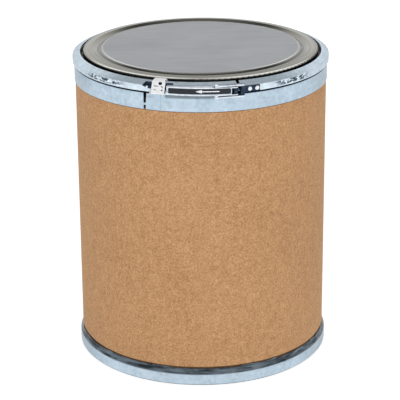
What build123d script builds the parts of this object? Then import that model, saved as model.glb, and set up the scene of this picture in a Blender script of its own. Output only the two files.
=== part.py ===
"""Fibre drum with steel chimes, a lift-off steel cover and a lever-locked clamping ring.

Units are millimetres. The drum's axis is Z and its foot stands on Z = 0.
The latch is on the -Y side. Azimuths are in degrees from -Y, growing toward +X.
"""

import os
from math import cos, radians, sin

from build123d import *

os.makedirs("parts", exist_ok=True)

# ---------------------------------------------------------------- driving dimensions

# Body
body_radius = 250.0  # outside of the fibre wall
rim_height = 606.0  # floor to the top of the steel rim
fibre_thickness = 3.0
disc_thickness = 5.0

# Clearances
seat = 0.06  # between pieces that bear on each other
piece_gap = 0.3  # between pieces that move apart
pin_clearance = 0.08  # radial, in a running hole

# Bottom chime
chime_sheet = 1.2
foot_step = 5.0  # how far the chime stands out from the wall
foot_band = 22.0  # height of its upright band
foot_height = 34.3  # top edge, tucked into the wall's groove
foot_play = 0.2  # wall's inner face to the chime's inner sheet
foot_bend = 2.6
disc_seat_height = 14.0  # underside of the ledge under the disc
disc_ledge = 9.6
groove_depth = 1.8
groove_half_height = 5.0

# Top chime
skirt_drop = 43.5  # rim down to the skirt's lower edge
skirt_lap = 21.0  # wall held between skirt and inner sheet
skirt_step = 1.5  # skirt's face outside the wall
shoulder_drop = 12.5
neck_drop = 8.7
neck_radius_step = 2.4  # neck's face inside the wall's
bead_radius = 3.0
bead_step = 1.8  # bead's outermost point outside the wall
skirt_joint_azimuth = -24.8
skirt_joint_gap = 4.6
weld_height = 4.0

# Cover
cover_sheet = 1.2
cover_crown = 17.5  # bead crest above the rim
crown_margin = 17.0  # dome wall inside the body radius
panel_margin = 38.5  # flat panel inside the dome wall
panel_drop = 0.5
channel_inner_margin = 31.5
channel_outer_margin = 26.0
channel_depth = 4.2
crest_margin = 16.5
crown_fall = 2.1
moat_width = 8.2
moat_depth = 6.0  # moat floor below the rim
flange_play = 0.2  # cover's flange under the ring's fold
flange_step = 1.5
curl_depth = 4.2
panel_bend = 3.6
channel_bend = 3.0
crest_bend = 5.0
dome_bend = 2.4
moat_bend = 3.2
flange_bend = 2.0
gasket_width = 7.2
gasket_play = 0.34  # gasket over the rim's bead

# Clamping ring
ring_sheet = 1.6
ring_step = 4.5  # ring's face outside the wall's
hook_depth = 6.0  # lower flange, under the rim's bead
hook_gap = 0.6
ring_web = 13.8
top_flange_width = 15.0
top_flange_rise = 5.9
ring_bend = 2.2
ring_gap_start = 15.6  # azimuths of the two free ends
ring_gap_end = 17.0
back_gap = 0.04  # degrees on each side of the back

# Latch stations
fulcrum_azimuth = 14.2
link_azimuth = 6.3
anchor_azimuth = 17.3
fulcrum_play = 3.0  # edges of the lever's eyes outside the ring's face
link_play = 2.5
pin_radius = 2.5
plate_sheet = 1.6

# Lever
lever_sheet = 1.6
lever_drop = 0.1  # lever's lower edge under the ring's
lever_overhang = 4.4  # lever's height beyond the ring's web
lever_notch = 2.8  # top edge lowered under the upper link arm
lever_depth = 10.0
lever_bend_shift = 11.0  # the lever bends about its own axis,
lever_bend_azimuth = 50.0  # moved this far this way
lever_play = 2.1  # lever's bend radius beyond the ring's face and a pin
lever_free_end = -23.8  # azimuths about the lever's own axis
lever_tongue_end = -16.2  # low tongue that carries the safety catch
lever_tongue_height = 6.4
lever_notch_azimuth = 2.7
lever_web_end = 10.9
eye_wall = 2.5  # metal round the pins in the lever's eyes
face_round = 1.4
panel_recess = 1.2
panel_start = -14.8
panel_low_lip = 3.3
panel_high_lip = 0.8
end_wall = 0.4  # degrees, about the lever's own axis

# Link arms
arm_wall = 2.0  # metal round the pins in the link arms
arm_sheet = 2.8
arm_gap = 0.4
low_arm_drop = 2.9
head_lip = 1.1  # pin heads beyond the pins
head_height = 0.9

# Brackets
fulcrum_plate_start = 4.6
fulcrum_plate_end = 12.4
anchor_plate_start = 18.9
anchor_plate_end = 25.5
plate_margin = 1.0  # plate inside the ring's web, top and bottom
knuckle_wall = 2.0
knuckle_play = 0.5  # anchor knuckle outside the ring's face
leg_sheet = 2.4
leg_inset = 0.6  # degrees, leg's root inside the plate's end

# Rivets
rivet_radius = 4.4
rivet_height = 2.0
anchor_rivet_azimuths = (20.8, 24.1)
fulcrum_rivet_azimuths = (6.4, 9.8)
small_rivet_radius = 2.3
small_rivet_height = 1.3
rivet_round = 0.7  # rounded share of a rivet's height
keeper_rivet_azimuths = (-23.1, -12.9)

# Keeper plate
keeper_start = -25.4
keeper_end = -12.0
keeper_drop = 6.4
keeper_reach = 8.4
keeper_sheet = 1.2
keeper_point = 13.0

# Safety catch
catch_azimuth = -17.6
catch_width = 26.0
catch_sheet = 1.2
catch_standoff = 11.6  # hinge pin outside the ring's face
catch_hinge_rise = 3.0  # hinge pin above the ring's lower edge
catch_play = 3.0  # shoulder above the ring's top flange
catch_lean = 12.0
catch_tab = 11.5
catch_lip = 4.4
catch_tab_slope = 1.0  # rise along the tab, and lean of its lip
catch_bend = 3.6
catch_lip_bend = 1.8
catch_corner = 5.0
catch_barrel_radius = 1.9
catch_pin_radius = 0.9
seal_hole_radius = 3.6
seal_hole_margin = 2.4  # hole's edge below the face's upper end
seal_hole_shift = 3.1
catch_slot_width = 1.5
long_slot_length = 8.8
long_slot_shift = 4.7
long_slot_share = 0.54  # heights on the catch are shares of its face
slant_slot_length = 6.2
slant_slot_shift = 7.3
slant_slot_share = 0.5
slant_slot_tilt = 40.0
short_slot_length = 5.7
short_slot_shift = 5.7
low_share = 0.26
dimple_radius = 1.7
dimple_shift = 7.8
lug_width = 2.0

# ---------------------------------------------------------------- derived levels and radii

wall_inner = body_radius - fibre_thickness
foot_radius = body_radius + foot_step
foot_width = foot_step + fibre_thickness + foot_play + chime_sheet
skirt_radius = body_radius + skirt_step
skirt_bottom = rim_height - skirt_drop
bead_centre = (body_radius + bead_step - bead_radius, rim_height - bead_radius)
bead_inner = bead_centre[0] - bead_radius
neck_radius = body_radius - neck_radius_step
wall_top = skirt_bottom + skirt_lap
disc_bottom = disc_seat_height + chime_sheet + seat

cover_top = rim_height + cover_crown
dome_radius = body_radius - crown_margin
panel_radius = dome_radius - panel_margin
channel_inner_radius = dome_radius - channel_inner_margin
channel_outer_radius = dome_radius - channel_outer_margin
crest_radius = dome_radius - crest_margin
flange_radius = body_radius + flange_step

ring_radius = body_radius + ring_step
ring_bottom = rim_height - 2 * bead_radius - hook_gap - ring_sheet
ring_fold = ring_bottom + ring_web
flange_top = ring_fold - flange_play
gasket_top = flange_top - cover_sheet - seat
gasket_height = gasket_top - rim_height - gasket_play
plate_low = ring_bottom + plate_margin
plate_high = ring_fold - plate_margin
plate_middle = (plate_low + plate_high) / 2
plate_inner = ring_radius + seat
plate_outer = plate_inner + plate_sheet

lever_bottom = ring_bottom - lever_drop
lever_height = ring_web + lever_overhang
lever_top = lever_bottom + lever_height
lever_low_top = lever_top - lever_notch
eye_radius = pin_radius + eye_wall
lever_radius = ring_radius + pin_radius + lever_play
fulcrum_standoff = eye_radius + fulcrum_play
link_standoff = eye_radius + link_play
low_arm_bottom = lever_bottom - low_arm_drop - arm_sheet
high_arm_bottom = lever_low_top + arm_gap
high_arm_top = high_arm_bottom + arm_sheet
arm_width = 2 * (pin_radius + arm_wall)
head_radius = pin_radius + head_lip
anchor_standoff = pin_radius + knuckle_wall + knuckle_play
knuckle_low = lever_bottom + lever_sheet + 1.5 * piece_gap
knuckle_high = lever_low_top - lever_sheet - 1.5 * piece_gap
anchor_low = low_arm_bottom + arm_sheet + piece_gap
anchor_high = high_arm_bottom - piece_gap

catch_rise = ring_web + top_flange_rise + catch_play
catch_hinge = (ring_radius + catch_standoff, ring_bottom + catch_hinge_rise)
catch_face_foot = (catch_hinge[0] + catch_barrel_radius, catch_hinge[1])
catch_shoulder = (catch_face_foot[0] - catch_lean, catch_face_foot[1] + catch_rise)
lean_angle = 90 - Vector(catch_lean, catch_rise).get_angle(Vector(1, 0))


# ---------------------------------------------------------------- placing helpers


def polar(radius, azimuth, centre=(0, 0)):
    """Plan point at this radius and azimuth about a centre."""
    turn = radians(azimuth)
    return (centre[0] + radius * sin(turn), centre[1] - radius * cos(turn))


def radial_plane(azimuth, centre=(0, 0)):
    """Upright plane through a centre: x runs outward at the azimuth, y runs up."""
    turn = radians(azimuth)
    return Plane(
        origin=(centre[0], centre[1], 0),
        x_dir=(sin(turn), -cos(turn), 0),
        z_dir=(-cos(turn), -sin(turn), 0),
    )


def facing_plane(radius, azimuth, height, centre=(0, 0)):
    """Upright plane that faces outward: x runs along the ring, y runs up."""
    turn = radians(azimuth)
    x, y = polar(radius, azimuth, centre)
    return Plane(
        origin=(x, y, height),
        x_dir=(cos(turn), sin(turn), 0),
        z_dir=(sin(turn), -cos(turn), 0),
    )


def midpoint(a, b):
    """Plan point halfway between two others."""
    return ((a[0] + b[0]) / 2, (a[1] + b[1]) / 2)


fulcrum = polar(ring_radius + fulcrum_standoff, fulcrum_azimuth)
link_pivot = polar(ring_radius + link_standoff, link_azimuth)
anchor = polar(ring_radius + anchor_standoff, anchor_azimuth)
lever_centre = polar(lever_bend_shift, lever_bend_azimuth)
lever_bend_axis = Axis((lever_centre[0], lever_centre[1], 0), (0, 0, 1))

# ---------------------------------------------------------------- body

# Wound fibre wall, with a rolled groove that holds the bottom chime's edge.
with BuildPart() as fibre_wall:
    wall_bottom = foot_bend + seat
    groove_low = foot_height - groove_half_height
    groove_high = foot_height + groove_half_height
    with BuildSketch(Plane.XZ):
        with BuildLine():
            Polyline(
                (body_radius, groove_low),
                (body_radius, wall_bottom),
                (wall_inner, wall_bottom),
                (wall_inner, wall_top),
                (body_radius, wall_top),
                (body_radius, groove_high),
            )
            ThreePointArc(
                (body_radius, groove_high),
                (body_radius - groove_depth, foot_height),
                (body_radius, groove_low),
            )
        make_face()
    revolve(axis=Axis.Z)

# Fibreboard bottom, resting on the chime's ledge inside the wall.
with BuildPart() as bottom_disc:
    with BuildSketch(Plane.XY.offset(disc_bottom)):
        Circle(wall_inner - 2 * seat)
    extrude(amount=disc_thickness)

# Bottom chime: a rolled channel around the wall's lower end, with a ledge for the disc.
with BuildPart() as bottom_chime:
    foot_inner = foot_radius - foot_width
    tuck_radius = body_radius - groove_depth + chime_sheet + 4 * seat
    with BuildSketch(Plane.XZ):
        with BuildLine():
            FilletPolyline(
                (tuck_radius, foot_height),
                (foot_radius, foot_band),
                (foot_radius, 0),
                (foot_inner, 0),
                (foot_inner, disc_seat_height),
                (foot_inner - disc_ledge, disc_seat_height),
                radius=(2 * foot_bend, foot_bend, foot_bend, chime_sheet),
            )
            offset(amount=chime_sheet, side=Side.RIGHT)
        make_face()
    revolve(axis=Axis.Z)

# Top chime: skirt outside the wall, neck and bead above it, inner sheet behind it.
with BuildPart() as top_chime:
    pocket_outer = body_radius + seat
    pocket_inner = wall_inner - seat
    shoulder_height = rim_height - shoulder_drop
    neck_height = rim_height - neck_drop
    neck_turn = (neck_radius, bead_centre[1] - (bead_radius**2 - (bead_centre[0] - neck_radius) ** 2) ** 0.5)
    with BuildSketch(Plane.XZ):
        with BuildLine():
            Polyline(
                (bead_inner, bead_centre[1]),
                (bead_inner, skirt_bottom + 2 * chime_sheet),
                (pocket_inner, skirt_bottom + 2 * chime_sheet),
                (pocket_inner, wall_top + seat),
                (pocket_outer, wall_top + seat),
                (pocket_outer, skirt_bottom),
                (skirt_radius, skirt_bottom),
                (skirt_radius, shoulder_height),
            )
            Spline(
                (skirt_radius, shoulder_height),
                (neck_radius, neck_height),
                tangents=((0, 1), (0, 1)),
            )
            Line((neck_radius, neck_height), neck_turn)
            ThreePointArc(
                neck_turn,
                (bead_centre[0] + bead_radius, bead_centre[1]),
                (bead_centre[0], rim_height),
            )
            ThreePointArc(
                (bead_centre[0], rim_height),
                (
                    bead_centre[0] - bead_radius * cos(radians(45)),
                    bead_centre[1] + bead_radius * sin(radians(45)),
                ),
                (bead_inner, bead_centre[1]),
            )
        make_face()
    revolve(axis=Axis.Z)
    # The skirt's ends meet in an open joint, bridged by one weld.
    joint_middle = (skirt_bottom + wall_top) / 2
    joint_top = neck_height - 2 * seat
    with BuildSketch(facing_plane(skirt_radius + skirt_step, skirt_joint_azimuth, 0)):
        with Locations((0, (skirt_bottom + joint_middle) / 2 - weld_height / 2)):
            Rectangle(skirt_joint_gap, joint_middle - skirt_bottom)
        with BuildLine():
            Polyline(
                (-skirt_joint_gap / 2, joint_middle + weld_height / 2),
                (skirt_joint_gap / 2, joint_middle + weld_height / 2),
                (skirt_joint_gap, joint_top),
                (-skirt_joint_gap / 2, joint_top),
                close=True,
            )
        make_face()
    extrude(amount=-(2 * skirt_step + neck_radius_step - piece_gap), mode=Mode.SUBTRACT)

# ---------------------------------------------------------------- cover

# Pressed steel cover: flat panel, channel and raised rim, a deep moat, then the flange.
with BuildPart() as cover:
    moat_floor = rim_height - moat_depth
    cover_bends = (
        panel_bend,
        channel_bend,
        panel_bend,
        crest_bend,
        dome_bend,
        moat_bend,
        moat_bend,
        flange_bend,
        dome_bend,
    )
    plug_radius = dome_radius + moat_width
    with BuildSketch(Plane.XZ):
        with BuildLine():
            FilletPolyline(
                (0, cover_top - panel_drop),
                (panel_radius, cover_top - panel_drop),
                (channel_inner_radius, cover_top - channel_depth),
                (channel_outer_radius, cover_top - channel_depth),
                (crest_radius, cover_top),
                (dome_radius, cover_top - crown_fall),
                (dome_radius, moat_floor),
                (plug_radius, moat_floor),
                (plug_radius, flange_top),
                (flange_radius, flange_top),
                (flange_radius, flange_top - curl_depth),
                radius=cover_bends,
            )
            offset(amount=cover_sheet, side=Side.RIGHT)
        make_face()
    revolve(axis=Axis.Z)

# Rubber gasket seated in the cover's flange, over the rim's bead.
with BuildPart() as cover_gasket:
    gasket_outer = flange_radius - cover_sheet - seat
    with BuildSketch(Plane.XZ):
        with Locations((gasket_outer - gasket_width / 2, gasket_top - gasket_height / 2)):
            RectangleRounded(gasket_width, gasket_height, gasket_height / 3)
    revolve(axis=Axis.Z)

# ---------------------------------------------------------------- clamping ring

# One spring-steel ring, modelled as two halves that meet at the back.
ring_spans = (
    ("ring_left_half", -180 + back_gap, ring_gap_start),
    ("ring_right_half", ring_gap_end, 180 - back_gap),
)
for ring_label, ring_from, ring_to in ring_spans:
    with BuildPart() as ring_half:
        with BuildSketch(radial_plane(ring_from)):
            with BuildLine():
                FilletPolyline(
                    (ring_radius - hook_depth, ring_bottom),
                    (ring_radius, ring_bottom),
                    (ring_radius, ring_fold),
                    (ring_radius - top_flange_width, ring_fold + top_flange_rise),
                    radius=ring_bend,
                )
                offset(amount=ring_sheet, side=Side.LEFT)
            make_face()
        revolve(axis=Axis.Z, revolution_arc=ring_to - ring_from)
    ring_half.part.label = ring_label
    export_step(ring_half.part, f"parts/{ring_label}.step")

# ---------------------------------------------------------------- brackets on the ring

# Fulcrum bracket: riveted plate, a leg, and the knuckle that carries the lever's pin.
with BuildPart() as fulcrum_bracket:
    with BuildSketch(radial_plane(fulcrum_plate_start)):
        with Locations(((plate_inner + plate_outer) / 2, plate_middle)):
            Rectangle(plate_sheet, plate_high - plate_low)
    revolve(axis=Axis.Z, revolution_arc=fulcrum_plate_end - fulcrum_plate_start)
    leg_root = polar(plate_inner + leg_sheet / 2, fulcrum_plate_end - leg_inset)
    with BuildSketch(Plane.XY.offset(knuckle_low)):
        SlotCenterPoint(midpoint(fulcrum, leg_root), fulcrum, leg_sheet)
        with Locations(fulcrum):
            Circle(pin_radius + knuckle_wall)
    extrude(amount=knuckle_high - knuckle_low)
    with BuildSketch(Plane.XY.offset(plate_low)):
        with Locations(fulcrum):
            Circle(pin_radius + seat)
    extrude(amount=plate_high - plate_low + lever_sheet, mode=Mode.SUBTRACT)

# Anchor bracket: the same idea on the ring's other end, with a taller knuckle.
with BuildPart() as anchor_bracket:
    with BuildSketch(radial_plane(anchor_plate_start)):
        with Locations(((plate_inner + plate_outer) / 2, plate_middle)):
            Rectangle(plate_sheet, plate_high - plate_low)
    revolve(axis=Axis.Z, revolution_arc=anchor_plate_end - anchor_plate_start)
    anchor_leg_root = polar(plate_inner + leg_sheet / 2, anchor_plate_start + leg_inset)
    with BuildSketch(Plane.XY.offset(plate_low)):
        SlotCenterPoint(midpoint(anchor, anchor_leg_root), anchor, leg_sheet)
    extrude(amount=plate_high - plate_low)
    with BuildSketch(Plane.XY.offset(anchor_low)):
        with Locations(anchor):
            Circle(pin_radius + knuckle_wall)
    extrude(amount=anchor_high - anchor_low)
    with BuildSketch(Plane.XY.offset(anchor_low)):
        with Locations(anchor):
            Circle(pin_radius + seat)
    extrude(amount=anchor_high - anchor_low, mode=Mode.SUBTRACT)

# Keeper plate: a saddle over the ring's fold, pointed at its left end.
with BuildPart() as keeper_plate:
    flange_slope = top_flange_rise / top_flange_width
    keeper_face = ring_radius + seat
    keeper_fold = ring_fold + seat
    with BuildSketch(radial_plane(keeper_start)):
        with BuildLine():
            FilletPolyline(
                (keeper_face, ring_fold - keeper_drop),
                (keeper_face, keeper_fold),
                (keeper_face - keeper_reach, keeper_fold + keeper_reach * flange_slope),
                radius=ring_bend,
            )
            offset(amount=keeper_sheet, side=Side.RIGHT)
        make_face()
    revolve(axis=Axis.Z, revolution_arc=keeper_end - keeper_start)
    with BuildSketch(facing_plane(ring_radius + 2 * keeper_sheet, keeper_start, ring_fold)):
        with BuildLine():
            Polyline(
                (-keeper_sheet, -2 * keeper_drop),
                (keeper_point, -2 * keeper_drop),
                (keeper_point, -keeper_drop),
                (0, -keeper_drop / 3),
                (keeper_point / 2, keeper_reach),
                (-keeper_sheet, keeper_reach),
                close=True,
            )
        make_face()
    extrude(amount=-2 * keeper_reach, mode=Mode.SUBTRACT)

# Pins that stay with the brackets.
with BuildPart() as fulcrum_pin:
    with BuildSketch(Plane.XY.offset(lever_bottom)):
        with Locations(fulcrum):
            Circle(pin_radius)
    extrude(amount=lever_low_top - lever_bottom)

with BuildPart() as anchor_pin:
    with BuildSketch(Plane.XY.offset(anchor_low)):
        with Locations(anchor):
            Circle(pin_radius)
    extrude(amount=anchor_high - anchor_low)

# Domed rivet heads, two to a plate.
rivet_sets = (
    ("fulcrum_rivets", fulcrum_rivet_azimuths, plate_outer, plate_middle, rivet_radius, rivet_height),
    ("anchor_rivets", anchor_rivet_azimuths, plate_outer, plate_middle, rivet_radius, rivet_height),
    (
        "keeper_rivets",
        keeper_rivet_azimuths,
        ring_radius + seat + keeper_sheet,
        ring_fold - keeper_drop / 2,
        small_rivet_radius,
        small_rivet_height,
    ),
)
for rivet_label, rivet_azimuths, rivet_seat, rivet_level, head, dome in rivet_sets:
    with BuildPart() as rivets:
        for rivet_azimuth in rivet_azimuths:
            with BuildSketch(facing_plane(rivet_seat + seat, rivet_azimuth, rivet_level)):
                Circle(head)
            extrude(amount=dome)
        rivet_crowns = rivets.edges().filter_by(GeomType.CIRCLE).filter_by(
            lambda edge: Vector(edge.arc_center.X, edge.arc_center.Y).length > rivet_seat + dome / 2
        )
        fillet(rivet_crowns, radius=rivet_round * dome)
    rivets.part.label = rivet_label
    export_step(rivets.part, f"parts/{rivet_label}.step")

# ---------------------------------------------------------------- lever

# Pressed lever: a channel open toward the ring, bent about its own axis.
with BuildPart() as lever:
    with BuildSketch(radial_plane(lever_free_end, lever_centre)) as lever_section:
        with Locations((lever_radius - lever_depth / 2, (lever_bottom + lever_top) / 2)):
            Rectangle(lever_depth, lever_height)
        fillet(lever_section.vertices().group_by(Axis.X)[-1], radius=face_round)
    revolve(axis=lever_bend_axis, revolution_arc=lever_web_end - lever_free_end)
    # Top edge lowered where the upper link arm lies, and where the catch leans over.
    lever_cuts = (
        (lever_notch_azimuth, lever_web_end + 1, lever_low_top),
        (lever_free_end - 1, lever_tongue_end, lever_bottom + lever_tongue_height),
    )
    for cut_from, cut_to, cut_level in lever_cuts:
        with BuildSketch(radial_plane(cut_from, lever_centre)):
            with Locations((lever_radius - lever_depth / 2, cut_level + lever_height / 2)):
                Rectangle(2 * lever_depth, lever_height)
        revolve(axis=lever_bend_axis, revolution_arc=cut_to - cut_from, mode=Mode.SUBTRACT)
    # Back edges trimmed to stand clear of the ring and what is riveted to it.
    with BuildSketch(Plane.XY.offset(lever_bottom - 1)):
        Circle(ring_radius + seat + keeper_sheet + small_rivet_height + 2 * piece_gap)
    extrude(amount=lever_height + 2, mode=Mode.SUBTRACT)
    # Eyes for the fulcrum and link pins, in the lower and upper flange.
    for eye_level in (lever_bottom, lever_low_top - lever_sheet):
        with BuildSketch(Plane.XY.offset(eye_level)):
            SlotCenterPoint(midpoint(fulcrum, link_pivot), fulcrum, 2 * eye_radius)
        extrude(amount=lever_sheet)
    # The hollow side, taller where the lever is full height.
    hollow_face = lever_radius - lever_sheet - panel_recess
    lever_hollows = (
        (lever_free_end + end_wall, lever_web_end + 1, lever_low_top, hollow_face),
        (lever_free_end + end_wall, lever_notch_azimuth - end_wall, lever_top, hollow_face - seat),
    )
    for hollow_from, hollow_to, hollow_top, hollow_radius in lever_hollows:
        with BuildSketch(radial_plane(hollow_from, lever_centre)):
            with Locations((hollow_radius - lever_depth, (lever_bottom + hollow_top) / 2)):
                Rectangle(2 * lever_depth, hollow_top - lever_bottom - 2 * lever_sheet)
        revolve(
            axis=lever_bend_axis,
            revolution_arc=hollow_to - hollow_from,
            mode=Mode.SUBTRACT,
        )
    # Long recessed panel along the face, round at its free end.
    panel_low = lever_bottom + panel_low_lip
    panel_high = lever_low_top - panel_high_lip
    panel_middle = (panel_low + panel_high) / 2
    with BuildSketch(radial_plane(panel_start, lever_centre)):
        with Locations((lever_radius, panel_middle)):
            Rectangle(2 * panel_recess, panel_high - panel_low)
    revolve(
        axis=lever_bend_axis,
        revolution_arc=lever_web_end - panel_start,
        mode=Mode.SUBTRACT,
    )
    with BuildSketch(facing_plane(lever_radius + panel_recess, panel_start, panel_middle, lever_centre)):
        Circle((panel_high - panel_low) / 2)
    extrude(amount=-2 * panel_recess, mode=Mode.SUBTRACT)
    # Lugs on the face that carry the safety catch's pin.
    lug_station = catch_width / 2 + piece_gap
    lug_root = (catch_hinge[0] - catch_barrel_radius - lever_sheet, catch_hinge[1])
    lug_middle = midpoint(catch_hinge, lug_root)
    for side in (-1, 1):
        lug_inner = radial_plane(catch_azimuth).offset(side * lug_station)
        with BuildSketch(lug_inner):
            SlotCenterPoint(lug_middle, catch_hinge, 2 * catch_barrel_radius)
        extrude(amount=side * lug_width)
    with BuildSketch(radial_plane(catch_azimuth).offset(-lug_station - 2 * lug_width)):
        with Locations(catch_hinge):
            Circle(catch_pin_radius + seat)
    extrude(amount=2 * (lug_station + 2 * lug_width), mode=Mode.SUBTRACT)
    # Pin holes through both eyes.
    with BuildSketch(Plane.XY.offset(lever_bottom - 1)):
        with Locations(fulcrum, link_pivot):
            Circle(pin_radius + pin_clearance)
    extrude(amount=lever_height + 2, mode=Mode.SUBTRACT)

# ---------------------------------------------------------------- link

# Two link arms, under and over the lever, each with a rivet head at the anchor end.
link_middle = midpoint(link_pivot, anchor)
arm_levels = (
    ("link_arm_lower", low_arm_bottom, low_arm_bottom - head_height),
    ("link_arm_upper", high_arm_bottom, high_arm_top),
)
for arm_label, arm_bottom, head_bottom in arm_levels:
    with BuildPart() as link_arm:
        with BuildSketch(Plane.XY.offset(arm_bottom)):
            SlotCenterPoint(link_middle, link_pivot, arm_width)
            with Locations(link_pivot):
                Circle(pin_radius + seat, mode=Mode.SUBTRACT)
        extrude(amount=arm_sheet)
        with BuildSketch(Plane.XY.offset(head_bottom)):
            with Locations(anchor):
                Circle(head_radius)
        extrude(amount=head_height)
    link_arm.part.label = arm_label
    export_step(link_arm.part, f"parts/{arm_label}.step")

# Link pin: headed at both ends, with a shoulder that spaces the lower arm off the lever.
with BuildPart() as link_pin:
    pin_low = low_arm_bottom - seat
    pin_high = high_arm_top + seat
    with BuildSketch(Plane.XY.offset(pin_low)):
        with Locations(link_pivot):
            Circle(pin_radius)
    extrude(amount=pin_high - pin_low)
    for head_level in (pin_low - head_height, pin_high):
        with BuildSketch(Plane.XY.offset(head_level)):
            with Locations(link_pivot):
                Circle(head_radius)
        extrude(amount=head_height)
    with BuildSketch(Plane.XY.offset(low_arm_bottom + arm_sheet + seat)):
        with Locations(link_pivot):
            Circle(head_radius)
    extrude(amount=low_arm_drop - seat - piece_gap)

# ---------------------------------------------------------------- safety catch

# Sheet catch hinged on the lever: leans over the ring and ends in a lipped tab.
with BuildPart() as safety_catch:
    catch_plane = radial_plane(catch_azimuth)
    tab_end = (catch_shoulder[0] - catch_tab, catch_shoulder[1] + catch_tab_slope)
    with BuildSketch(catch_plane):
        with BuildLine():
            FilletPolyline(
                catch_face_foot,
                catch_shoulder,
                tab_end,
                (tab_end[0] - catch_tab_slope, tab_end[1] - catch_lip),
                radius=(catch_bend, catch_lip_bend),
            )
            offset(amount=catch_sheet, side=Side.LEFT)
        make_face()
        with Locations(catch_hinge):
            Circle(catch_barrel_radius)
    extrude(amount=catch_width / 2, both=True)
    with BuildSketch(catch_plane.offset(-catch_width)):
        with Locations(catch_hinge):
            Circle(catch_pin_radius + pin_clearance)
    extrude(amount=2 * catch_width, mode=Mode.SUBTRACT)
    # Rounded upper corners, a seal hole, and pressed slots in the face.
    half_width = catch_width / 2
    corner_level = catch_shoulder[1] + 2 * catch_sheet
    for side in (-1, 1):
        with BuildSketch(facing_plane(catch_face_foot[0], catch_azimuth, corner_level)):
            with BuildLine():
                Polyline(
                    (side * (half_width + 1), 1),
                    (side * (half_width - catch_corner / 2), 1),
                    (side * (half_width - catch_corner / 2), -catch_sheet),
                    (side * half_width, -catch_corner - catch_sheet),
                    (side * (half_width + 1), -catch_corner - catch_sheet),
                    close=True,
                )
            make_face()
        extrude(amount=-2 * (catch_lean + catch_tab), mode=Mode.SUBTRACT)
    face_length = Vector(catch_lean, catch_rise).length
    face_plane = Plane(
        origin=Vector(*polar(catch_face_foot[0], catch_azimuth), catch_face_foot[1]),
        x_dir=facing_plane(1, catch_azimuth, 0).x_dir,
        z_dir=facing_plane(1, catch_azimuth, 0).z_dir.rotate(
            Axis((0, 0, 0), facing_plane(1, catch_azimuth, 0).x_dir), -lean_angle
        ),
    )
    with BuildSketch(face_plane):
        with Locations((seal_hole_shift, face_length - seal_hole_radius - seal_hole_margin)):
            Circle(seal_hole_radius)
        with Locations((-long_slot_shift, long_slot_share * face_length)):
            SlotOverall(long_slot_length, catch_slot_width)
        with Locations((slant_slot_shift, slant_slot_share * face_length)):
            SlotOverall(slant_slot_length, catch_slot_width, rotation=-slant_slot_tilt)
        with Locations((-short_slot_shift, low_share * face_length)):
            SlotOverall(short_slot_length, catch_slot_width)
        with Locations((dimple_shift, low_share * face_length)):
            Circle(dimple_radius)
    extrude(amount=2 * catch_sheet, both=True, mode=Mode.SUBTRACT)

with BuildPart() as catch_pin:
    pin_reach = lug_station + lug_width
    with BuildSketch(catch_plane.offset(-pin_reach)):
        with Locations(catch_hinge):
            Circle(catch_pin_radius)
    extrude(amount=2 * pin_reach)

# ---------------------------------------------------------------- labels and files

fibre_wall.part.label = "fibre_wall"
export_step(fibre_wall.part, "parts/fibre_wall.step")

bottom_disc.part.label = "bottom_disc"
export_step(bottom_disc.part, "parts/bottom_disc.step")

bottom_chime.part.label = "bottom_chime"
export_step(bottom_chime.part, "parts/bottom_chime.step")

top_chime.part.label = "top_chime"
export_step(top_chime.part, "parts/top_chime.step")

cover.part.label = "cover"
export_step(cover.part, "parts/cover.step")

cover_gasket.part.label = "cover_gasket"
export_step(cover_gasket.part, "parts/cover_gasket.step")

fulcrum_bracket.part.label = "fulcrum_bracket"
export_step(fulcrum_bracket.part, "parts/fulcrum_bracket.step")

fulcrum_pin.part.label = "fulcrum_pin"
export_step(fulcrum_pin.part, "parts/fulcrum_pin.step")

anchor_bracket.part.label = "anchor_bracket"
export_step(anchor_bracket.part, "parts/anchor_bracket.step")

anchor_pin.part.label = "anchor_pin"
export_step(anchor_pin.part, "parts/anchor_pin.step")

keeper_plate.part.label = "keeper_plate"
export_step(keeper_plate.part, "parts/keeper_plate.step")

lever.part.label = "lever"
export_step(lever.part, "parts/lever.step")

link_pin.part.label = "link_pin"
export_step(link_pin.part, "parts/link_pin.step")

safety_catch.part.label = "safety_catch"
export_step(safety_catch.part, "parts/safety_catch.step")

catch_pin.part.label = "catch_pin"
export_step(catch_pin.part, "parts/catch_pin.step")
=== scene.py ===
import math

import bmesh
import bpy
from mathutils import Matrix, Vector, noise


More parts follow.
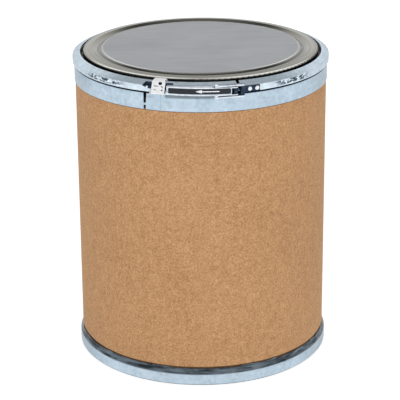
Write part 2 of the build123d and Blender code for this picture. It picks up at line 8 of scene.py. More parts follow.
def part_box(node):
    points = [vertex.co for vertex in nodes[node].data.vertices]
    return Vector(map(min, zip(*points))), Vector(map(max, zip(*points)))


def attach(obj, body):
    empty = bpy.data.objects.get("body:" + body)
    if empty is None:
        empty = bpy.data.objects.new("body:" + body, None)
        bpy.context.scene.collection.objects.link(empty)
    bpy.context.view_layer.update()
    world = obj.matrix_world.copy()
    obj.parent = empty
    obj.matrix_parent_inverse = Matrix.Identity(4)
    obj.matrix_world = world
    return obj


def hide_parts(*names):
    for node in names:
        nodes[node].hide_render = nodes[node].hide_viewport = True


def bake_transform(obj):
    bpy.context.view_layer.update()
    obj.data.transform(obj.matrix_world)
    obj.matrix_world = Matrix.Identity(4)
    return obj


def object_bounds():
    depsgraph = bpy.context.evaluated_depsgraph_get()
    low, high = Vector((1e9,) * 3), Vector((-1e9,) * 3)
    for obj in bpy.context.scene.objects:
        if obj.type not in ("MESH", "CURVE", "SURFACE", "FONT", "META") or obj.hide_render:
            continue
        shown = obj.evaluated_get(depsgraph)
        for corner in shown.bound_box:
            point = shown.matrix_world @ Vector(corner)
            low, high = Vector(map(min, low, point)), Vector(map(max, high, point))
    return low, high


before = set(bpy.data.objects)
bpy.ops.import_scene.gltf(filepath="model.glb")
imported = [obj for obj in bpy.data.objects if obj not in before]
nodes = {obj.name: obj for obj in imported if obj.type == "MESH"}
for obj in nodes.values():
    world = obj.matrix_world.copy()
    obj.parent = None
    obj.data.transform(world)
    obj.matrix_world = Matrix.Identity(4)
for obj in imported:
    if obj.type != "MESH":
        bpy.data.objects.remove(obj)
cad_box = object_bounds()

# Kraft fibre drum: materials, a one-piece clamping ring, a crimped foot chime, the mark on
# the lever, soft studio light, floor and camera. Lengths are metres, and azimuths are
# degrees from -Y, growing toward +X. The drum's axis is Z.

MILLIMETRE = 0.001

# Places on the drum that no box gives
JOINT_AZIMUTH = -24.8  # open joint of the top chime
CREASE_AZIMUTHS = (JOINT_AZIMUTH - 9.7, JOINT_AZIMUTH + 7.3)
DOME_SHARE = 0.932  # the cover's dome wall, as a share of the body's radius
MARK_AZIMUTHS = (-13.4, 12.1)  # ends of the lever's inlay
ARROW_AZIMUTHS = (-2.2, 0.4, 7.4)  # its tip, the end of its head, its tail

# Light levels
FLOOR_GLOW = 0.78
BAND_LEVEL = 1.25  # bright low band of the surround, behind the drum
FRONT_SHARE = 0.4  # the same band in front of the drum
ZENITH_LEVEL = 0.62
DIM_LEVEL = 0.06

# Camera: place in metres, turns in degrees, lens and sensor in millimetres
CAMERA_PLACE = (0.0, -3.3265, 1.52)
CAMERA_PITCH = 20.2
CAMERA_YAW = 0.06
CAMERA_ROLL = -0.439
CAMERA_LENS = 155.5
CAMERA_SENSOR = 36.0

# ---------------------------------------------------------------- places taken from the CAD

ring_low, ring_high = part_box("ring_left_half")
wall_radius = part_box("fibre_wall")[1].x
skirt_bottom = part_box("top_chime")[0].z
foot_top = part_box("bottom_chime")[1].z
lever_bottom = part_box("lever")[0].z


def plan_direction(azimuth):
    """Unit vector outward from the drum's axis."""
    turn = math.radians(azimuth)
    return Vector((math.sin(turn), -math.cos(turn), 0.0))


def azimuth_of(point):
    """Azimuth of a point, in degrees."""
    return math.degrees(math.atan2(point.x, -point.y))


# ---------------------------------------------------------------- material graph helper


class Graph:
    """A material's node tree, with short calls for the nodes used here."""

    def __init__(self, name):
        self.material = bpy.data.materials.new(name)
        self.material.use_nodes = True
        self.tree = self.material.node_tree
        self.shader = self.tree.nodes["Principled BSDF"]
        self.place = self.add("ShaderNodeTexCoord").outputs["Object"]
        parts = self.add("ShaderNodeSeparateXYZ")
        self.feed(parts.inputs[0], self.place)
        self.x, self.y, self.z = parts.outputs

    def add(self, kind, **settings):
        node = self.tree.nodes.new(kind)
        for key, value in settings.items():
            setattr(node, key, value)
        return node

    def feed(self, socket, value):
        """Link a socket, or set a constant, into an input."""
        if isinstance(value, bpy.types.NodeSocket):
            self.tree.links.new(value, socket)
        else:
            socket.default_value = value

    def set(self, name, value):
        self.feed(self.shader.inputs[name], value)

    def math(self, operation, first, second=0.0):
        node = self.add("ShaderNodeMath", operation=operation)
        self.feed(node.inputs[0], first)
        self.feed(node.inputs[1], second)
        return node.outputs[0]

    def joined(self, x, y, z):
        node = self.add("ShaderNodeCombineXYZ")
        for socket, value in zip(node.inputs, (x, y, z)):
            self.feed(socket, value)
        return node.outputs[0]

    def radius(self):
        """Distance from the drum's axis."""
        squares = self.math("ADD", self.math("POWER", self.x, 2.0), self.math("POWER", self.y, 2.0))
        return self.math("SQRT", squares)

    def azimuth(self):
        """Degrees round the drum's axis."""
        turn = self.math("ARCTAN2", self.x, self.math("MULTIPLY", self.y, -1.0))
        return self.math("MULTIPLY", turn, math.degrees(1.0))

    def along_ring(self, across, along):
        """A place stretched round the drum: fine across the band, slow along it."""
        band = self.math("ADD", self.z, self.math("MULTIPLY", self.radius(), 0.7))
        return self.joined(
            self.math("MULTIPLY", self.x, along),
            self.math("MULTIPLY", self.y, along),
            self.math("MULTIPLY", band, across),
        )

    def stretched(self, x, y, z):
        return self.joined(
            self.math("MULTIPLY", self.x, x),
            self.math("MULTIPLY", self.y, y),
            self.math("MULTIPLY", self.z, z),
        )

    def noise(self, scale, place=None, detail=2.0, roughness=0.5, distortion=0.0):
        node = self.add("ShaderNodeTexNoise")
        self.feed(node.inputs["Vector"], place or self.place)
        self.feed(node.inputs["Scale"], scale)
        self.feed(node.inputs["Detail"], detail)
        self.feed(node.inputs["Roughness"], roughness)
        self.feed(node.inputs["Distortion"], distortion)
        return node.outputs["Fac"]

    def cells(self, scale):
        node = self.add("ShaderNodeTexVoronoi")
        self.feed(node.inputs["Vector"], self.place)
        self.feed(node.inputs["Scale"], scale)
        return node.outputs["Color"]

    def span(self, value, low, high, start=0.0, end=1.0, smooth=False):
        """Map low..high to start..end, held at both ends."""
        node = self.add("ShaderNodeMapRange")
        node.interpolation_type = "SMOOTHSTEP" if smooth else "LINEAR"
        for socket, item in zip(node.inputs[:5], (value, low, high, start, end)):
            self.feed(socket, item)
        return node.outputs[0]

    def window(self, value, low, high, edge):
        """1 between low and high, fading to 0 over the edge width."""
        rise = self.span(value, low - edge, low + edge, smooth=True)
        fall = self.span(value, high - edge, high + edge, 1.0, 0.0, smooth=True)
        return self.math("MULTIPLY", rise, fall)

    def blend(self, factor, first, second):
        """Mix two colours."""
        node = self.add("ShaderNodeMix", data_type="RGBA")
        self.feed(node.inputs["Factor"], factor)
        self.feed(node.inputs[6], first)
        self.feed(node.inputs[7], second)
        return node.outputs[2]

    def bump(self, height, distance, strength=1.0, below=None):
        node = self.add("ShaderNodeBump")
        self.feed(node.inputs["Strength"], strength)
        self.feed(node.inputs["Distance"], distance)
        self.feed(node.inputs["Height"], height)
        if below is not None:
            self.feed(node.inputs["Normal"], below)
        return node.outputs[0]


def tone(red, green, blue):
    """A colour given as screen values from 0 to 255."""
    parts = []
    for level in (red, green, blue):
        share = level / 255
        parts.append(share / 12.92 if share <= 0.04045 else ((share + 0.055) / 1.055) ** 2.4)
    return (*parts, 1.0)


# ---------------------------------------------------------------- materials


def kraft_paper(name, light, dark):
    """Wound kraft board: fine fibre speckle over a soft mottle, with painted shade at its edges.

    The wall is darkened behind the skirt as painted shade, so that the open joint looks dark,
    and in thin lines beside both chimes as painted contact shadows.
    """
    g = Graph(name)
    speckle = g.noise(300, detail=4, roughness=0.6)
    mottle = g.noise(75, detail=4, roughness=0.6)
    drift = g.noise(5, detail=2)
    streak = g.noise(1, place=g.stretched(200, 200, 30), detail=2)
    mixed = g.math("ADD", g.math("MULTIPLY", speckle, 0.62), g.math("MULTIPLY", mottle, 0.22))
    mixed = g.math("ADD", mixed, g.math("MULTIPLY", drift, 0.08))
    mixed = g.math("ADD", mixed, g.math("MULTIPLY", streak, 0.08))
    base = g.blend(g.span(mixed, 0.38, 0.62), dark, light)
    fleck = g.span(g.noise(620, detail=2, roughness=0.9), 0.66, 0.74)
    base = g.blend(g.math("MULTIPLY", fleck, 0.35), base, tone(226, 190, 150))
    pit = g.span(g.noise(380, place=g.stretched(1.1, 0.9, 1.3), detail=3), 0.30, 0.24)
    base = g.blend(g.math("MULTIPLY", pit, 0.4), base, tone(120, 84, 52))
    # Painted shade: the wall darkened behind the skirt, seen through the open joint
    covered = g.span(g.z, skirt_bottom + 0.5 * MILLIMETRE, skirt_bottom + 2 * MILLIMETRE)
    outside = g.span(g.radius(), wall_radius - 1.5 * MILLIMETRE, wall_radius - 1 * MILLIMETRE)
    behind_skirt = g.math("MULTIPLY", covered, outside)
    base = g.blend(behind_skirt, base, tone(26, 23, 22))
    # Painted contact shadows: thin dark lines under the skirt and above the foot chime
    under_skirt = g.window(g.z, skirt_bottom - 1.6 * MILLIMETRE, skirt_bottom, 0.4 * MILLIMETRE)
    above_foot = g.span(g.z, foot_top + 2.5 * MILLIMETRE, foot_top + 4 * MILLIMETRE, 1.0, 0.0)
    edges = g.math("MULTIPLY", g.math("MAXIMUM", under_skirt, above_foot), 0.8)
    g.set("Base Color", g.blend(edges, base, tone(38, 28, 20)))
    g.set("Roughness", g.span(mottle, 0.3, 0.7, 0.78, 0.92))
    g.set("Specular IOR Level", 0.3)
    coarse = g.bump(mottle, 0.6 * MILLIMETRE, 0.35)
    g.set("Normal", g.bump(speckle, 0.3 * MILLIMETRE, 0.45, below=coarse))
    return g.material


def zinc_coat(g, base, shade, across=900, stain=0.35):
    """Shared look of galvanised sheet: spangle, drawn streaks and small dull stains."""
    spangle = g.span(g.cells(150), 0.0, 1.0, 0.0, 0.3)
    streak = g.noise(1, place=g.along_ring(across, 3), detail=3, roughness=0.6)
    cloud = g.noise(22, detail=4, roughness=0.6)
    level = g.math("ADD", g.math("MULTIPLY", streak, 0.45), g.math("MULTIPLY", cloud, 0.4))
    level = g.math("ADD", level, spangle)
    colour = g.blend(g.span(level, 0.35, 0.75), shade, base)
    grime = g.span(g.noise(48, detail=5, roughness=0.7), 0.60, 0.74)
    colour = g.blend(g.math("MULTIPLY", grime, stain), colour, tone(96, 108, 118))
    rough = g.span(level, 0.35, 0.75, 0.44, 0.32)
    dents = g.bump(g.noise(14, detail=2), 1.1 * MILLIMETRE, 0.5)
    fine = g.bump(streak, 0.12 * MILLIMETRE, 0.35, below=dents)
    return colour, rough, fine


def painted_side_shade(g, colour, start, most, shade):
    """Painted shade: a fixed darker tint toward +X and -X, the two sides seen edge-on from the
    camera.
    """
    sideways = g.math("ABSOLUTE", g.math("DIVIDE", g.x, wall_radius))
    return g.blend(g.span(sideways, start, 1.0, 0.0, most), colour, shade)


def chime_darks(g, azimuth):
    """Fixed dark places of a chime, in place of deep or contact shadows.

    They are the open joint, the neck under the ring, a strip behind the lever and the sole.
    """
    inner = wall_radius - 3.8 * MILLIMETRE
    outer = wall_radius + 0.5 * MILLIMETRE
    behind = g.window(g.radius(), inner, outer, 0.2 * MILLIMETRE)
    in_joint = g.window(azimuth, JOINT_AZIMUTH - 1.2, JOINT_AZIMUTH + 1.2, 0.1)
    hidden = g.math("MULTIPLY", behind, in_joint)
    neck_low = ring_low.z - 3.4 * MILLIMETRE
    neck = g.window(g.z, neck_low, ring_low.z + 2 * MILLIMETRE, 0.4 * MILLIMETRE)
    strip_low = ring_low.z - 11 * MILLIMETRE
    strip = g.span(g.z, strip_low, ring_low.z - 8 * MILLIMETRE, 0.0, 0.6)
    behind_lever = g.math("MULTIPLY", g.window(azimuth, -15.5, 13.0, 1.0), strip)
    sole = g.span(g.z, 1.4 * MILLIMETRE, 3 * MILLIMETRE, 0.8, 0.0)
    upper = g.math("MAXIMUM", hidden, neck)
    return g.math("MAXIMUM", upper, g.math("MAXIMUM", behind_lever, sole))


def chime_steel(name):
    """Zinc-coated sheet of both chimes, with painted shade on the creases beside the joint and on
    the crimped shoulder.
    """
    g = Graph(name)
    colour, rough, surface = zinc_coat(g, tone(198, 215, 228), tone(174, 194, 209))
    azimuth = g.azimuth()
    # Painted shade: thin dark lines on the creases beside the joint
    for crease_shade in CREASE_AZIMUTHS:
        line = g.window(azimuth, crease_shade - 0.08, crease_shade + 0.08, 0.08)
        line = g.math("MULTIPLY", line, g.span(g.z, skirt_bottom, skirt_bottom + 1 * MILLIMETRE))
        colour = g.blend(g.math("MULTIPLY", line, 0.45), colour, tone(104, 122, 136))
    # Painted shade toward both sides of the drum
    colour = painted_side_shade(g, colour, 0.74, 0.6, tone(112, 128, 138))
    # Painted shade on the crimped shoulder, deeper in its folds
    shoulder_low = foot_top - 11 * MILLIMETRE
    shoulder = g.window(g.z, shoulder_low, foot_top + 1 * MILLIMETRE, 1.2 * MILLIMETRE)
    fold = g.noise(1, place=g.stretched(22, 22, 150), detail=4, roughness=0.6)
    crease_shade = g.math("MULTIPLY", shoulder, g.span(fold, 0.36, 0.6, 0.55, 0.97))
    colour = g.blend(crease_shade, colour, tone(40, 46, 52))
    g.set("Base Color", g.blend(chime_darks(g, azimuth), colour, tone(26, 31, 36)))
    g.set("Metallic", 1.0)
    g.set("Roughness", rough)
    g.set("Normal", surface)
    return g.material


def ring_steel(name):
    """The clamping ring: zinc-coated, with dark scuffs on both sides in place of its marks."""
    g = Graph(name)
    colour, rough, surface = zinc_coat(g, tone(228, 241, 250), tone(196, 213, 226))
    azimuth = g.azimuth()
    left = g.window(azimuth, -58.0, -36.0, 5.0)
    right = g.window(azimuth, 34.0, 53.0, 4.0)
    sides = g.math("MAXIMUM", left, right)
    face_low = ring_low.z + 3 * MILLIMETRE
    face_high = ring_high.z - 7.5 * MILLIMETRE
    face = g.window(g.z, face_low, face_high, 1.5 * MILLIMETRE)
    rub = g.noise(1, place=g.stretched(90, 90, 190), detail=4, roughness=0.7)
    scuff = g.math("MULTIPLY", g.span(rub, 0.47, 0.52), g.math("MULTIPLY", sides, face))
    # Painted shade toward both sides of the drum
    colour = painted_side_shade(g, colour, 0.7, 0.5, tone(116, 134, 146))
    colour = g.blend(g.math("MULTIPLY", scuff, 0.95), colour, tone(30, 40, 54))
    g.set("Base Color", colour)
    g.set("Metallic", 1.0)
    g.set("Roughness", rough)
    g.set("Normal", surface)
    return g.material


def cover_steel(name):
    """Pressed cover: matt drawn panel, and a darker rim with painted shade in its channel and on its
    dome wall.

    The bends carry painted highlights at front left and right, and the outer one a line of painted
    shade at the back. They are tints set by azimuth, not reflections.
    """
    g = Graph(name)
    radius = g.radius()
    dome = wall_radius * DOME_SHARE
    rim = g.span(radius, dome - 39.5 * MILLIMETRE, dome - 33.5 * MILLIMETRE, smooth=True)
    grain = g.noise(1, place=g.stretched(12, 320, 60), detail=4, roughness=0.65)
    cloud = g.noise(9, detail=3)
    level = g.math("ADD", g.math("MULTIPLY", grain, 0.6), g.math("MULTIPLY", cloud, 0.4))
    panel = g.blend(g.span(level, 0.3, 0.7), tone(140, 141, 143), tone(168, 169, 172))
    ringed = g.noise(1, place=g.along_ring(700, 2), detail=3)
    border = g.blend(g.span(ringed, 0.35, 0.65), tone(102, 100, 91), tone(130, 127, 117))
    # Painted shade in the channel
    channel = g.window(radius, dome - 34.5 * MILLIMETRE, dome - 27 * MILLIMETRE, 1 * MILLIMETRE)
    border = g.blend(g.math("MULTIPLY", channel, 0.75), border, tone(56, 56, 51))
    fade = 0.6 * MILLIMETRE
    edge_bend = g.window(radius, dome - 4.2 * MILLIMETRE, dome - 0.8 * MILLIMETRE, fade)
    panel_bend = g.window(radius, dome - 39.6 * MILLIMETRE, dome - 37 * MILLIMETRE, fade)
    # Painted shade on the dome wall
    wall_start = dome - 0.4 * MILLIMETRE
    dome_wall = g.window(radius, wall_start, dome + 7 * MILLIMETRE, 0.4 * MILLIMETRE)
    border = g.blend(g.math("MULTIPLY", dome_wall, 0.85), border, tone(34, 35, 32))
    # Painted shade on the outer bend at the back
    turn = g.math("ABSOLUTE", g.azimuth())
    behind = g.span(turn, 85.0, 105.0)
    border = g.blend(g.math("MULTIPLY", edge_bend, behind), border, tone(60, 60, 55))
    # Painted highlights on the bends at front left and right
    edge_shine = g.math("MULTIPLY", edge_bend, g.window(turn, 4.0, 58.0, 14.0))
    quarters = g.span(g.window(turn, 26.0, 66.0, 16.0), 0.0, 1.0, 0.3, 0.95)
    panel_shine = g.math("MULTIPLY", panel_bend, quarters)
    shine = g.math("MAXIMUM", edge_shine, panel_shine)
    colour = g.blend(rim, panel, border)
    g.set("Base Color", g.blend(shine, colour, tone(246, 245, 240)))
    g.set("Metallic", g.span(shine, 0.0, 1.0, 1.0, 0.15))
    g.set("Roughness", g.span(rim, 0.0, 1.0, 0.46, 0.24))
    waves = g.bump(g.noise(7, detail=1), 1 * MILLIMETRE, 0.25)
    g.set("Normal", g.bump(grain, 0.05 * MILLIMETRE, 0.4, below=waves))
    return g.material


def latch_steel(name):
    """Bright zinc-plated lever and link, with painted shade on the upper back edge."""
    g = Graph(name)
    colour, rough, surface = zinc_coat(g, tone(236, 243, 248), tone(200, 212, 224), 500, 0.2)
    # Painted shade on the upper back edge, where the lever meets the ring
    upper = g.span(g.z, ring_high.z - 6.5 * MILLIMETRE, ring_high.z - 5.5 * MILLIMETRE)
    edge_start = wall_radius + 11.5 * MILLIMETRE
    inward = g.span(g.radius(), edge_start, wall_radius + 14 * MILLIMETRE, 1.0, 0.0)
    dark_edge = g.math("MULTIPLY", g.math("MULTIPLY", upper, inward), 0.85)
    g.set("Base Color", g.blend(dark_edge, colour, tone(44, 58, 72)))
    g.set("Metallic", 1.0)
    g.set("Roughness", rough)
    g.set("Normal", surface)
    return g.material


def blued_steel(name):
    """Dark blued spring-steel plates under the latch."""
    g = Graph(name)
    cloud = g.noise(120, detail=4, roughness=0.6)
    worn = g.span(g.noise(420, detail=3, roughness=0.7), 0.60, 0.72)
    colour = g.blend(g.span(cloud, 0.3, 0.7), tone(28, 40, 56), tone(56, 74, 96))
    g.set("Base Color", g.blend(g.math("MULTIPLY", worn, 0.5), colour, tone(168, 182, 196)))
    g.set("Metallic", 1.0)
    g.set("Roughness", g.span(cloud, 0.3, 0.7, 0.3, 0.5))
    g.set("Normal", g.bump(cloud, 0.2 * MILLIMETRE, 0.3))
    return g.material


def rivet_steel(name):
    """Bright rivet heads and pins, with turned marks."""
    g = Graph(name)
    marks = g.noise(300, detail=4, roughness=0.6)
    g.set("Base Color", g.blend(g.span(marks, 0.35, 0.65), tone(214, 222, 230), tone(246, 248, 250)))
    g.set("Metallic", 1.0)
    g.set("Roughness", g.span(marks, 0.3, 0.7, 0.2, 0.34))
    g.set("Normal", g.bump(marks, 0.1 * MILLIMETRE, 0.3))
    return g.material


def catch_zinc(name):
    """Matt white zinc of the folded safety catch."""
    g = Graph(name)
    cloud = g.noise(160, detail=4, roughness=0.6)
    g.set("Base Color", g.blend(g.span(cloud, 0.3, 0.7), tone(236, 237, 239), tone(252, 252, 252)))
    g.set("Metallic", 0.1)
    g.set("Roughness", g.span(cloud, 0.3, 0.7, 0.42, 0.55))
    g.set("Normal", g.bump(cloud, 0.15 * MILLIMETRE, 0.3))
    return g.material


def rubber(name):
    """Black rubber of the cover's gasket, slightly grained."""
    g = Graph(name)
    grain = g.noise(500, detail=3)
    g.set("Base Color", g.blend(grain, tone(24, 24, 25), tone(44, 44, 46)))
    g.set("Roughness", g.span(grain, 0.3, 0.7, 0.6, 0.8))
    g.set("Normal", g.bump(grain, 0.2 * MILLIMETRE, 0.4))
    return g.material


def dark_inlay(name):
    """Near-black sheet in the lever's recess, a painted dark reflection."""
    g = Graph(name)
    cloud = g.noise(200, detail=4, roughness=0.6)
    g.set("Base Color", g.blend(g.span(cloud, 0.3, 0.7), tone(6, 9, 14), tone(28, 36, 48)))
    g.set("Metallic", 0.2)
    g.set("Roughness", g.span(cloud, 0.3, 0.7, 0.3, 0.45))
    g.set("Normal", g.bump(cloud, 0.2 * MILLIMETRE, 0.4))
    return g.material


def floor_paint(name):
    """Pale floor that glows enough to fade into the background."""
    g = Graph(name)
    cloud = g.noise(0.8, detail=2)
    g.set("Base Color", g.blend(cloud, tone(176, 176, 176), tone(182, 182, 182)))
    g.set("Roughness", 0.9)
    g.set("Emission Color", tone(255, 255, 255))
    g.set("Emission Strength", FLOOR_GLOW)
    return g.material


def paint(names, material):
    """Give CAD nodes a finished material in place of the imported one."""
    for name in names:
        mesh = nodes[name].data
        for index in range(len(mesh.materials)):
            mesh.materials[index] = material
        if not mesh.materials:
            mesh.materials.append(material)


# ---------------------------------------------------------------- mesh tools


def section(node, azimuth):
    """Closed outline of a CAD node cut by the half-plane at an azimuth, as (radius, height)."""
    outward = plan_direction(azimuth)
    across = Vector((-outward.y, outward.x, 0.0))
    work = bmesh.new()
    work.from_mesh(nodes[node].data)
    bmesh.ops.remove_doubles(work, verts=work.verts, dist=1e-6)
    everything = [*work.verts, *work.edges, *work.faces]
    cut = bmesh.ops.bisect_plane(work, geom=everything, plane_co=(0, 0, 0), plane_no=across)
    edges = [item for item in cut["geom_cut"] if isinstance(item, bmesh.types.BMEdge)]
    links = {}
    for edge in edges:
        first, second = edge.verts
        if first.co.dot(outward) > 0:
            links.setdefault(first, []).append(second)
            links.setdefault(second, []).append(first)
    start = next(iter(links))
    chain = [start]
    before = None
    while True:
        following = [v for v in links[chain[-1]] if v is not before]
        before = chain[-1]
        if following[0] is start:
            break
        chain.append(following[0])
    outline = [(vert.co.dot(outward), vert.co.z) for vert in chain]
    work.free()
    return outline


def resampled(outline, longest):
    """The outline with extra points, so that no side is longer than given."""
    points = []
    for here, there in zip(outline, outline[1:] + outline[:1]):
        length = math.dist(here, there)
        count = max(1, math.ceil(length / longest))
        for step in range(count):
            share = step / count
            points.append(tuple(a + (b - a) * share for a, b in zip(here, there)))
    return points


def revolved(name, outline, azimuths, shape=None, closed=False):
    """A solid of revolution whose outline may change with azimuth through shape()."""
    work = bmesh.new()
    rows = []
    for azimuth in azimuths:
        outward = plan_direction(azimuth)
        row = []
        for radius, height in outline:
            if shape:
                radius, height = shape(azimuth, radius, height)
            row.append(work.verts.new((outward.x * radius, outward.y * radius, height)))
        rows.append(row)
    pairs = list(zip(rows, rows[1:]))
    if closed:
        pairs.append((rows[-1], rows[0]))
    for here, there in pairs:
        for index in range(len(outline)):
            after = (index + 1) % len(outline)
            work.faces.new((here[index], here[after], there[after], there[index]))
    if not closed:
        work.faces.new(rows[0])
        work.faces.new(reversed(rows[-1]))
    bmesh.ops.recalc_face_normals(work, faces=work.faces)
    return finished(name, work)


def finished(name, work):
    """Turn bmesh work into a smooth-shaded object that keeps its sharp edges."""
    sharp = 35.0
    mesh = bpy.data.meshes.new(name)
    work.to_mesh(mesh)
    work.free()
    mesh.polygons.foreach_set("use_smooth", [True] * len(mesh.polygons))
    mesh.set_sharp_from_angle(angle=math.radians(sharp))
    thing = bpy.data.objects.new(name, mesh)
    bpy.context.scene.collection.objects.link(thing)
    return thing


def even(start, end, step):
    """Evenly spaced values from start to end, about one step apart."""
    count = max(1, round((end - start) / step))
    return [start + (end - start) * index / count for index in range(count + 1)]


# ---------------------------------------------------------------- pieces


def clamping_ring(material):
    """The ring as the one band it really is, from one end at the latch round the back to the other.
    """
    outline = section("ring_left_half", -90.0)
    left_end = max(
        azimuth_of(vert.co) for vert in nodes["ring_left_half"].data.vertices if vert.co.y < 0
    )
    right_end = min(
        azimuth_of(vert.co) for vert in nodes["ring_right_half"].data.vertices if vert.co.y < 0
    )
    azimuths = even(right_end - 360.0, left_end, 0.75)
    band = revolved("clamping_ring", outline, azimuths)
    band.data.materials.append(material)
    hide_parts("ring_left_half", "ring_right_half")
    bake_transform(band)
    return band


def foot_chime(material):
    """The bottom chime with its crimped shoulder, wavy where the sheet was gathered."""
    outline = resampled(section("bottom_chime", 0.0), 1.6 * MILLIMETRE)
    band_top = foot_top - 13 * MILLIMETRE
    tuck = wall_radius - 1.2 * MILLIMETRE
    gather = 2.2 * MILLIMETRE
    lift = 2.0 * MILLIMETRE

    def crimp(azimuth, radius, height):
        rise = min(1.0, max(0.0, (height - band_top) / (foot_top - band_top)))
        if rise <= 0 or radius < tuck - 3 * MILLIMETRE:
            return radius, height
        place = plan_direction(azimuth)
        fold = noise.noise(place * 14) + 0.6 * noise.noise(place * 37)
        wave = noise.noise(place * 9 + Vector((0, 0, 4))) + 0.5 * noise.noise(place * 23)
        outward = gather * max(-0.05, fold) * rise * rise
        return radius + outward, height + lift * wave * rise * rise

    azimuths = even(-180.0, 180.0, 0.75)[:-1]
    chime = revolved("foot_chime", outline, azimuths, shape=crimp, closed=True)
    chime.data.materials.append(material)
    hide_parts("bottom_chime")
    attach(chime, "drum")
    return chime


def on_lever(azimuth, height, lift):
    """A point just outside the lever's face, found on the CAD surface."""
    outward = plan_direction(azimuth)
    origin = outward * (wall_radius * 1.3) + Vector((0, 0, height))
    _, place, _, _ = nodes["lever"].ray_cast(origin, -outward)
    return place + outward * lift


def lever_patch(name, columns, material, lift, thickness):
    """A thin curved plate on the lever's face. Each column is (azimuth, low, high)."""
    work = bmesh.new()
    outer, inner = [], []
    for azimuth, *heights in columns:
        depth = plan_direction(azimuth) * thickness
        points = [on_lever(azimuth, height, lift) for height in heights]
        outer.append([work.verts.new(point) for point in points])
        inner.append([work.verts.new(point - depth) for point in points])
    for left in range(len(columns) - 1):
        a, b = outer[left], outer[left + 1]
        c, d = inner[left], inner[left + 1]
        work.faces.new((a[0], b[0], b[1], a[1]))
        work.faces.new((c[1], d[1], d[0], c[0]))
        work.faces.new((a[1], b[1], d[1], c[1]))
        work.faces.new((c[0], d[0], b[0], a[0]))
    first_out, first_in = outer[0], inner[0]
    last_out, last_in = outer[-1], inner[-1]
    work.faces.new((first_out[0], first_out[1], first_in[1], first_in[0]))
    work.faces.new((last_in[0], last_in[1], last_out[1], last_out[0]))
    bmesh.ops.recalc_face_normals(work, faces=work.faces)
    patch = finished(name, work)
    patch.data.materials.append(material)
    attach(patch, "latch_lever")
    return patch


def lever_marks(inlay_material, mark_material):
    """Dark inlay in the lever's recess, a painted dark reflection, with a plain arrow toward the
    opening end.
    """
    low = lever_bottom + 3.6 * MILLIMETRE
    high = lever_bottom + 13.9 * MILLIMETRE
    corner = 1.6 * MILLIMETRE
    start, end = MARK_AZIMUTHS
    columns = []
    for azimuth in even(start, end, 0.35):
        inset = min(azimuth - start, end - azimuth) * math.radians(1) * wall_radius
        round_off = 0.0
        if inset < corner:
            round_off = corner - math.sqrt(corner**2 - (corner - inset) ** 2)
        columns.append((azimuth, low + round_off, high - round_off))
    # The inlay: a near-black sheet standing in for the recess's dark reflection
    lever_patch("lever_inlay", columns, inlay_material, 0.25 * MILLIMETRE, 0.3 * MILLIMETRE)
    middle = (low + high) / 2
    shaft = 0.9 * MILLIMETRE
    barb = 3.2 * MILLIMETRE
    point = 0.05 * MILLIMETRE
    tip, neck, tail = ARROW_AZIMUTHS
    arrow = []
    for azimuth in even(tip, neck, 0.26):
        half = barb * (azimuth - tip) / (neck - tip) + point
        arrow.append((azimuth, middle - half, middle + half))
    for azimuth in even(neck + 0.02, tail, 0.35):
        arrow.append((azimuth, middle - shaft, middle + shaft))
    lever_patch("lever_arrow", arrow, mark_material, 0.5 * MILLIMETRE, 0.25 * MILLIMETRE)


# ---------------------------------------------------------------- studio


def add_floor():
    """A wide flat floor, evenly divided."""
    work = bmesh.new()
    bmesh.ops.create_grid(work, x_segments=24, y_segments=24, size=30.0)
    floor = finished("studio_floor", work)
    floor.location.z = cad_box[0].z
    floor.data.materials.append(floor_paint("floor_paint"))


def add_softbox(name, place, target, width, height, watts):
    """A soft lamp turned to a target, kept out of reflections."""
    data = bpy.data.lights.new(name, "AREA")
    data.shape = "RECTANGLE"
    data.size = width
    data.size_y = height
    data.energy = watts
    lamp = bpy.data.objects.new(name, data)
    aim = Vector(target) - Vector(place)
    lamp.location = place
    lamp.rotation_euler = aim.to_track_quat("-Z", "Y").to_euler()
    lamp.visible_glossy = False
    lamp.visible_camera = False
    bpy.context.scene.collection.objects.link(lamp)


def add_world():
    """Studio surround for reflections: a bright low band, strongest behind, and dark above."""
    world = bpy.data.worlds.new("studio")
    world.use_nodes = True
    bpy.context.scene.world = world
    tree = world.node_tree
    background = tree.nodes["Background"]

    def add(kind, **settings):
        node = tree.nodes.new(kind)
        for key, value in settings.items():
            setattr(node, key, value)
        return node

    def ramp(value, low, high, start, end):
        node = add("ShaderNodeMapRange", interpolation_type="SMOOTHSTEP")
        tree.links.new(value, node.inputs[0])
        for socket, item in zip(node.inputs[1:5], (low, high, start, end)):
            socket.default_value = item
        return node.outputs[0]

    def combine(operation, first, second):
        node = add("ShaderNodeMath", operation=operation)
        for socket, item in zip(node.inputs, (first, second)):
            if isinstance(item, bpy.types.NodeSocket):
                tree.links.new(item, socket)
            else:
                socket.default_value = item
        return node.outputs[0]

    parts = add("ShaderNodeSeparateXYZ")
    tree.links.new(add("ShaderNodeTexCoord").outputs["Generated"], parts.inputs[0])
    _, backward, upward = parts.outputs
    behind = ramp(backward, -0.1, 0.5, FRONT_SHARE, 1.0)
    above_floor = ramp(upward, 0.04, 0.16, 0.45, 1.0)
    band = combine("MULTIPLY", above_floor, ramp(upward, 0.56, 0.70, 1.0, 0.0))
    band = combine("MULTIPLY", combine("MULTIPLY", band, behind), BAND_LEVEL)
    zenith = ramp(upward, 0.76, 0.90, 0.0, ZENITH_LEVEL)
    level = combine("ADD", combine("ADD", band, zenith), DIM_LEVEL)
    seen = add("ShaderNodeLightPath").outputs["Is Camera Ray"]
    level = combine("MAXIMUM", level, seen)
    tree.links.new(level, background.inputs["Strength"])
    background.inputs["Color"].default_value = (0.98, 0.99, 1.0, 1.0)


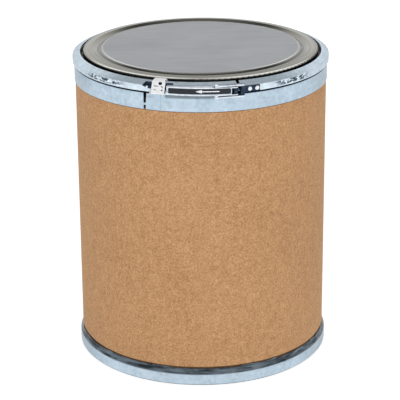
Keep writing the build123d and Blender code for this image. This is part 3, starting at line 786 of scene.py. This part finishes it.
def add_camera():
    """The viewpoint: a long lens in front of the drum, looking down on the cover."""
    data = bpy.data.cameras.new("camera")
    data.sensor_width = CAMERA_SENSOR
    data.lens = CAMERA_LENS
    data.clip_end = 200.0
    camera = bpy.data.objects.new("camera", data)
    yaw = Matrix.Rotation(math.radians(CAMERA_YAW), 4, "Z")
    tilt = Matrix.Rotation(math.radians(90.0 - CAMERA_PITCH), 4, "X")
    roll = Matrix.Rotation(math.radians(CAMERA_ROLL), 4, "Z")
    camera.matrix_world = Matrix.Translation(CAMERA_PLACE) @ yaw @ tilt @ roll
    bpy.context.scene.collection.objects.link(camera)
    bpy.context.scene.camera = camera


# ---------------------------------------------------------------- assembly

chime_finish = chime_steel("galvanized_sheet")
paint(["fibre_wall"], kraft_paper("kraft_paper", tone(204, 159, 115), tone(162, 119, 79)))
paint(["bottom_disc"], kraft_paper("fibreboard", tone(190, 152, 112), tone(150, 112, 76)))
paint(["top_chime", "bottom_chime"], chime_finish)
paint(["cover"], cover_steel("pressed_cover"))
paint(["cover_gasket"], rubber("gasket_rubber_fine"))
ring_finish = ring_steel("ring_sheet")
paint(["ring_left_half", "ring_right_half"], ring_finish)
paint(["lever", "link_arm_lower", "link_arm_upper"], latch_steel("plated_latch"))
paint(["fulcrum_bracket", "keeper_plate", "anchor_bracket"], blued_steel("blued_plate"))
rivet_nodes = ["fulcrum_rivets", "keeper_rivets", "anchor_rivets"]
pin_nodes = ["fulcrum_pin", "anchor_pin", "link_pin", "catch_pin"]
bright = rivet_steel("bright_rivet")
paint(rivet_nodes + pin_nodes, bright)
paint(["safety_catch"], catch_zinc("matt_zinc"))

clamping_ring(ring_finish)
foot_chime(chime_finish)
lever_marks(dark_inlay("recess_painted_reflection"), bright)

add_floor()
add_world()
add_softbox("back_left", (-0.75, 2.4, 2.45), (0, 0, 0.6), 0.7, 0.4, 9)
add_softbox("back_right", (0.75, 2.4, 2.45), (0, 0, 0.6), 0.7, 0.4, 9)
add_softbox("front_left", (-1.2, -3.7, 1.9), (0, 0, 0.3), 1.4, 1.4, 29)
add_softbox("front_right", (1.4, -3.6, 1.8), (0, 0, 0.3), 1.4, 1.4, 26)
add_camera()
bpy.context.scene.view_settings.view_transform = "Standard"
